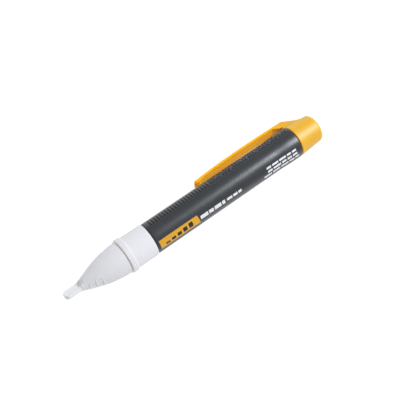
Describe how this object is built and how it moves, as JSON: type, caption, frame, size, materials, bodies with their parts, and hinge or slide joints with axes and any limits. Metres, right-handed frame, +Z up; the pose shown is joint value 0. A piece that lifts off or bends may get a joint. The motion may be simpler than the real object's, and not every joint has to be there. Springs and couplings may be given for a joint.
{
  "type": "non contact voltage tester",
  "caption": "Pen-shaped non-contact voltage tester with a white sensing nose and blade tip, dark barrel, yellow pull-off cap with a pocket clip, and cells inside.",
  "frame": {"origin": "centre of the base of the bounding box, on the surface the tester lies on", "axes": "+X along the pen from the sensing tip to the cap, +Z up, +Y to the side the clip is on"},
  "size_m": [0.1498, 0.021, 0.0178],
  "materials": {
    "white_plastic": "satin, slightly translucent moulding",
    "dark_plastic": "satin with a fine grain",
    "yellow_plastic": "smooth semi-gloss moulding",
    "board_laminate": "green solder mask",
    "carrier_plastic": "matt moulding",
    "copper": "plain copper strip",
    "lamp_plastic": "tinted clear epoxy",
    "tinned_metal": "tinned",
    "chip_plastic": "moulded epoxy",
    "resistor_coat": "lacquered",
    "capacitor_can": "drawn can",
    "spring_steel": "nickel plated",
    "cell_can": "nickel plated",
    "cell_jacket": "shrunk film"
  },
  "bodies": {
    "housing": {"barrel": "dark_plastic", "nose_tip": "white_plastic", "nose_collar": "white_plastic", "circuit_board": "board_laminate", "board_carrier": "carrier_plastic", "antenna_plate": "copper", "antenna_lead": "copper", "indicator_lamp": "lamp_plastic", "lamp_lead_a": "tinned_metal", "lamp_lead_b": "tinned_metal", "detector_chip": "chip_plastic", "lamp_driver": "chip_plastic", "sense_resistor": "resistor_coat", "lamp_resistor": "chip_plastic", "filter_capacitor": "capacitor_can", "front_contact": "spring_steel", "return_strip": "spring_steel"},
    "cap": {"end_cap": "yellow_plastic", "battery_spring": "spring_steel", "spring_plate": "spring_steel"},
    "clip": {"pocket_clip": "yellow_plastic"},
    "rear_cell": {"rear_cell_can": "cell_can", "rear_cell_jacket": "cell_jacket"},
    "front_cell": {"front_cell_can": "cell_can", "front_cell_jacket": "cell_jacket"}
  },
  "joints": [
    {"name": "cap_pull", "type": "slide", "parent": "housing", "child": "cap", "axis": [1, 0, 0], "range_m": [0, 0.2]},
    {"name": "rear_cell_slide", "type": "slide", "parent": "housing", "child": "rear_cell", "axis": [1, 0, 0], "range_m": [0, 0.15]},
    {"name": "front_cell_slide", "type": "slide", "parent": "housing", "child": "front_cell", "axis": [1, 0, 0], "range_m": [0, 0.1]},
    {"name": "clip_flex", "type": "hinge", "parent": "cap", "child": "clip", "pos_m": [0.05647, 0.00831, 0.00373], "axis": [0, -0.4617, -0.887], "range_deg": [-1, 5], "stiffness_Nm_per_rad": 2}
  ],
  "couplings": [
    {"joint": "rear_cell_slide", "follows": "cap_pull", "ratio": 0.75},
    {"joint": "front_cell_slide", "follows": "cap_pull", "ratio": 0.5}
  ]
}
